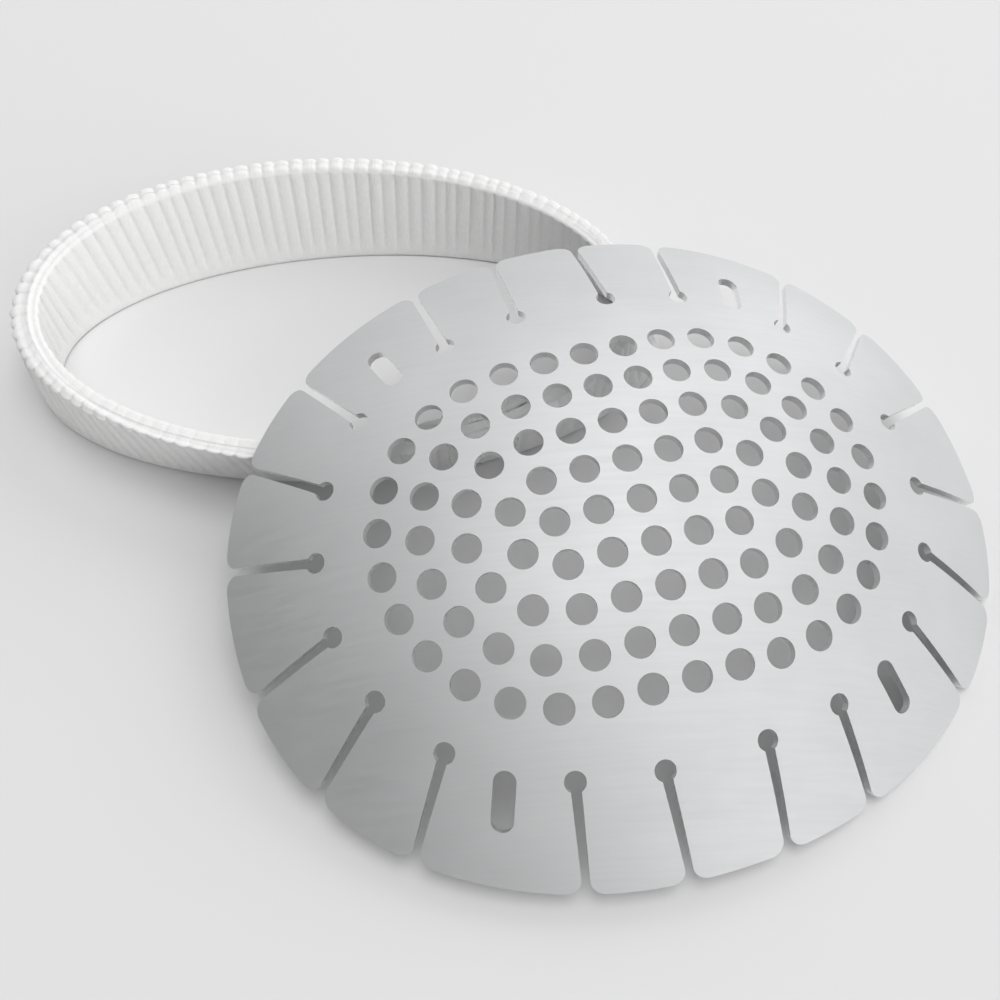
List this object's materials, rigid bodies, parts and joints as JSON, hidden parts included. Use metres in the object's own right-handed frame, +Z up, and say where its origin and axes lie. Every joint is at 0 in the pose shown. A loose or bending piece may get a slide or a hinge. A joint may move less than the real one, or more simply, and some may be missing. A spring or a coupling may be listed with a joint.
{
  "type": "surgical eye shield",
  "caption": "Domed, perforated aluminium eye shield with a slit, bendable rim, leaning on its ribbed elastic head strap.",
  "frame": {"origin": "on the table, under the middle of the box that holds the whole part", "axes": "+X to the right along the shield's long side, +Y away from the front of the picture, +Z up"},
  "size_m": [0.1124, 0.0956, 0.0201],
  "materials": {
    "aluminium_sheet": "satin, soft-annealed sheet",
    "elastic_cover": "white ribbed woven elastic",
    "rubber": "matte",
    "sewing_thread": "white twisted thread"
  },
  "bodies": {
    "strap": {"strap_cover": "elastic_cover", "rubber_strands": "rubber", "seam_thread": "sewing_thread"},
    "shield": {"shield_dome": "aluminium_sheet"},
    "rim_tab_01": {"rim_tab_01": "aluminium_sheet"},
    "rim_tab_02": {"rim_tab_02": "aluminium_sheet"},
    "tie_tab_03": {"tie_tab_03": "aluminium_sheet"},
    "rim_tab_04": {"rim_tab_04": "aluminium_sheet"},
    "rim_tab_05": {"rim_tab_05": "aluminium_sheet"},
    "rim_tab_06": {"rim_tab_06": "aluminium_sheet"},
    "tie_tab_07": {"tie_tab_07": "aluminium_sheet"},
    "rim_tab_08": {"rim_tab_08": "aluminium_sheet"},
    "rim_tab_09": {"rim_tab_09": "aluminium_sheet"},
    "rim_tab_10": {"rim_tab_10": "aluminium_sheet"},
    "rim_tab_11": {"rim_tab_11": "aluminium_sheet"},
    "rim_tab_12": {"rim_tab_12": "aluminium_sheet"},
    "tie_tab_13": {"tie_tab_13": "aluminium_sheet"},
    "rim_tab_14": {"rim_tab_14": "aluminium_sheet"},
    "rim_tab_15": {"rim_tab_15": "aluminium_sheet"},
    "rim_tab_16": {"rim_tab_16": "aluminium_sheet"},
    "tie_tab_17": {"tie_tab_17": "aluminium_sheet"},
    "rim_tab_18": {"rim_tab_18": "aluminium_sheet"},
    "rim_tab_19": {"rim_tab_19": "aluminium_sheet"},
    "rim_tab_20": {"rim_tab_20": "aluminium_sheet"}
  },
  "joints": [
    {"name": "shield_lift", "type": "slide", "parent": "strap", "child": "shield", "axis": [0, 0, 1], "range_m": [0, 0.06]},
    {"name": "bend_01", "type": "hinge", "parent": "shield", "child": "rim_tab_01", "pos_m": [0.04329, 0.00035, 0.01147], "axis": [0.5163, -0.8152, -0.2626], "range_deg": [-15, 30]},
    {"name": "bend_02", "type": "hinge", "parent": "shield", "child": "rim_tab_02", "pos_m": [0.03823, 0.00586, 0.01359], "axis": [0.7583, -0.5926, -0.2717], "range_deg": [-15, 30]},
    {"name": "bend_03", "type": "hinge", "parent": "shield", "child": "tie_tab_03", "pos_m": [0.02936, 0.00973, 0.01629], "axis": [0.9437, -0.2325, -0.2352], "range_deg": [-15, 30]},
    {"name": "bend_04", "type": "hinge", "parent": "shield", "child": "rim_tab_04", "pos_m": [0.01942, 0.01079, 0.01821], "axis": [0.9853, 0.0845, -0.1484], "range_deg": [-15, 30]},
    {"name": "bend_05", "type": "hinge", "parent": "shield", "child": "rim_tab_05", "pos_m": [0.01034, 0.00932, 0.01909], "axis": [0.9743, 0.222, -0.0392], "range_deg": [-15, 30]},
    {"name": "bend_06", "type": "hinge", "parent": "shield", "child": "rim_tab_06", "pos_m": [0.00147, 0.00671, 0.01894], "axis": [0.9331, 0.3526, 0.0712], "range_deg": [-15, 30]},
    {"name": "bend_07", "type": "hinge", "parent": "shield", "child": "tie_tab_07", "pos_m": [-0.00715, 0.00142, 0.01775], "axis": [0.7652, 0.6218, 0.1665], "range_deg": [-15, 30]},
    {"name": "bend_08", "type": "hinge", "parent": "shield", "child": "rim_tab_08", "pos_m": [-0.01365, -0.00596, 0.01568], "axis": [0.4457, 0.8669, 0.2233], "range_deg": [0, 30]},
    {"name": "bend_09", "type": "hinge", "parent": "shield", "child": "rim_tab_09", "pos_m": [-0.01597, -0.01315, 0.01385], "axis": [0.1313, 0.9627, 0.2365], "range_deg": [0, 30]},
    {"name": "bend_10", "type": "hinge", "parent": "shield", "child": "rim_tab_10", "pos_m": [-0.01566, -0.02048, 0.01212], "axis": [-0.2086, 0.9538, 0.2162], "range_deg": [-15, 30]},
    {"name": "bend_11", "type": "hinge", "parent": "shield", "child": "rim_tab_11", "pos_m": [-0.01286, -0.02733, 0.01064], "axis": [-0.5243, 0.8342, 0.1708], "range_deg": [0, 30]},
    {"name": "bend_12", "type": "hinge", "parent": "shield", "child": "rim_tab_12", "pos_m": [-0.00772, -0.03305, 0.00953], "axis": [-0.772, 0.6251, 0.115], "range_deg": [0, 30]},
    {"name": "bend_13", "type": "hinge", "parent": "shield", "child": "tie_tab_13", "pos_m": [0.00133, -0.03737, 0.00896], "axis": [-0.9611, 0.2737, 0.0365], "range_deg": [0, 30]},
    {"name": "bend_14", "type": "hinge", "parent": "shield", "child": "rim_tab_14", "pos_m": [0.01142, -0.03876, 0.00863], "axis": [-0.9986, -0.053, -0.0033], "range_deg": [0, 30]},
    {"name": "bend_15", "type": "hinge", "parent": "shield", "child": "rim_tab_15", "pos_m": [0.02056, -0.03744, 0.0085], "axis": [-0.9743, -0.222, 0.0392], "range_deg": [0, 30]},
    {"name": "bend_16", "type": "hinge", "parent": "shield", "child": "rim_tab_16", "pos_m": [0.02936, -0.03467, 0.00791], "axis": [-0.9198, -0.3841, 0.0804], "range_deg": [0, 30]},
    {"name": "bend_17", "type": "hinge", "parent": "shield", "child": "tie_tab_17", "pos_m": [0.03785, -0.02905, 0.00749], "axis": [-0.7479, -0.6631, 0.0322], "range_deg": [0, 30]},
    {"name": "bend_18", "type": "hinge", "parent": "shield", "child": "rim_tab_18", "pos_m": [0.04416, -0.02123, 0.00745], "axis": [-0.432, -0.8994, -0.0666], "range_deg": [0, 30]},
    {"name": "bend_19", "type": "hinge", "parent": "shield", "child": "rim_tab_19", "pos_m": [0.04639, -0.01383, 0.00825], "axis": [-0.1233, -0.9818, -0.1448], "range_deg": [0, 30]},
    {"name": "bend_20", "type": "hinge", "parent": "shield", "child": "rim_tab_20", "pos_m": [0.04605, -0.00643, 0.00964], "axis": [0.2086, -0.9538, -0.2162], "range_deg": [0, 30]}
  ]
}
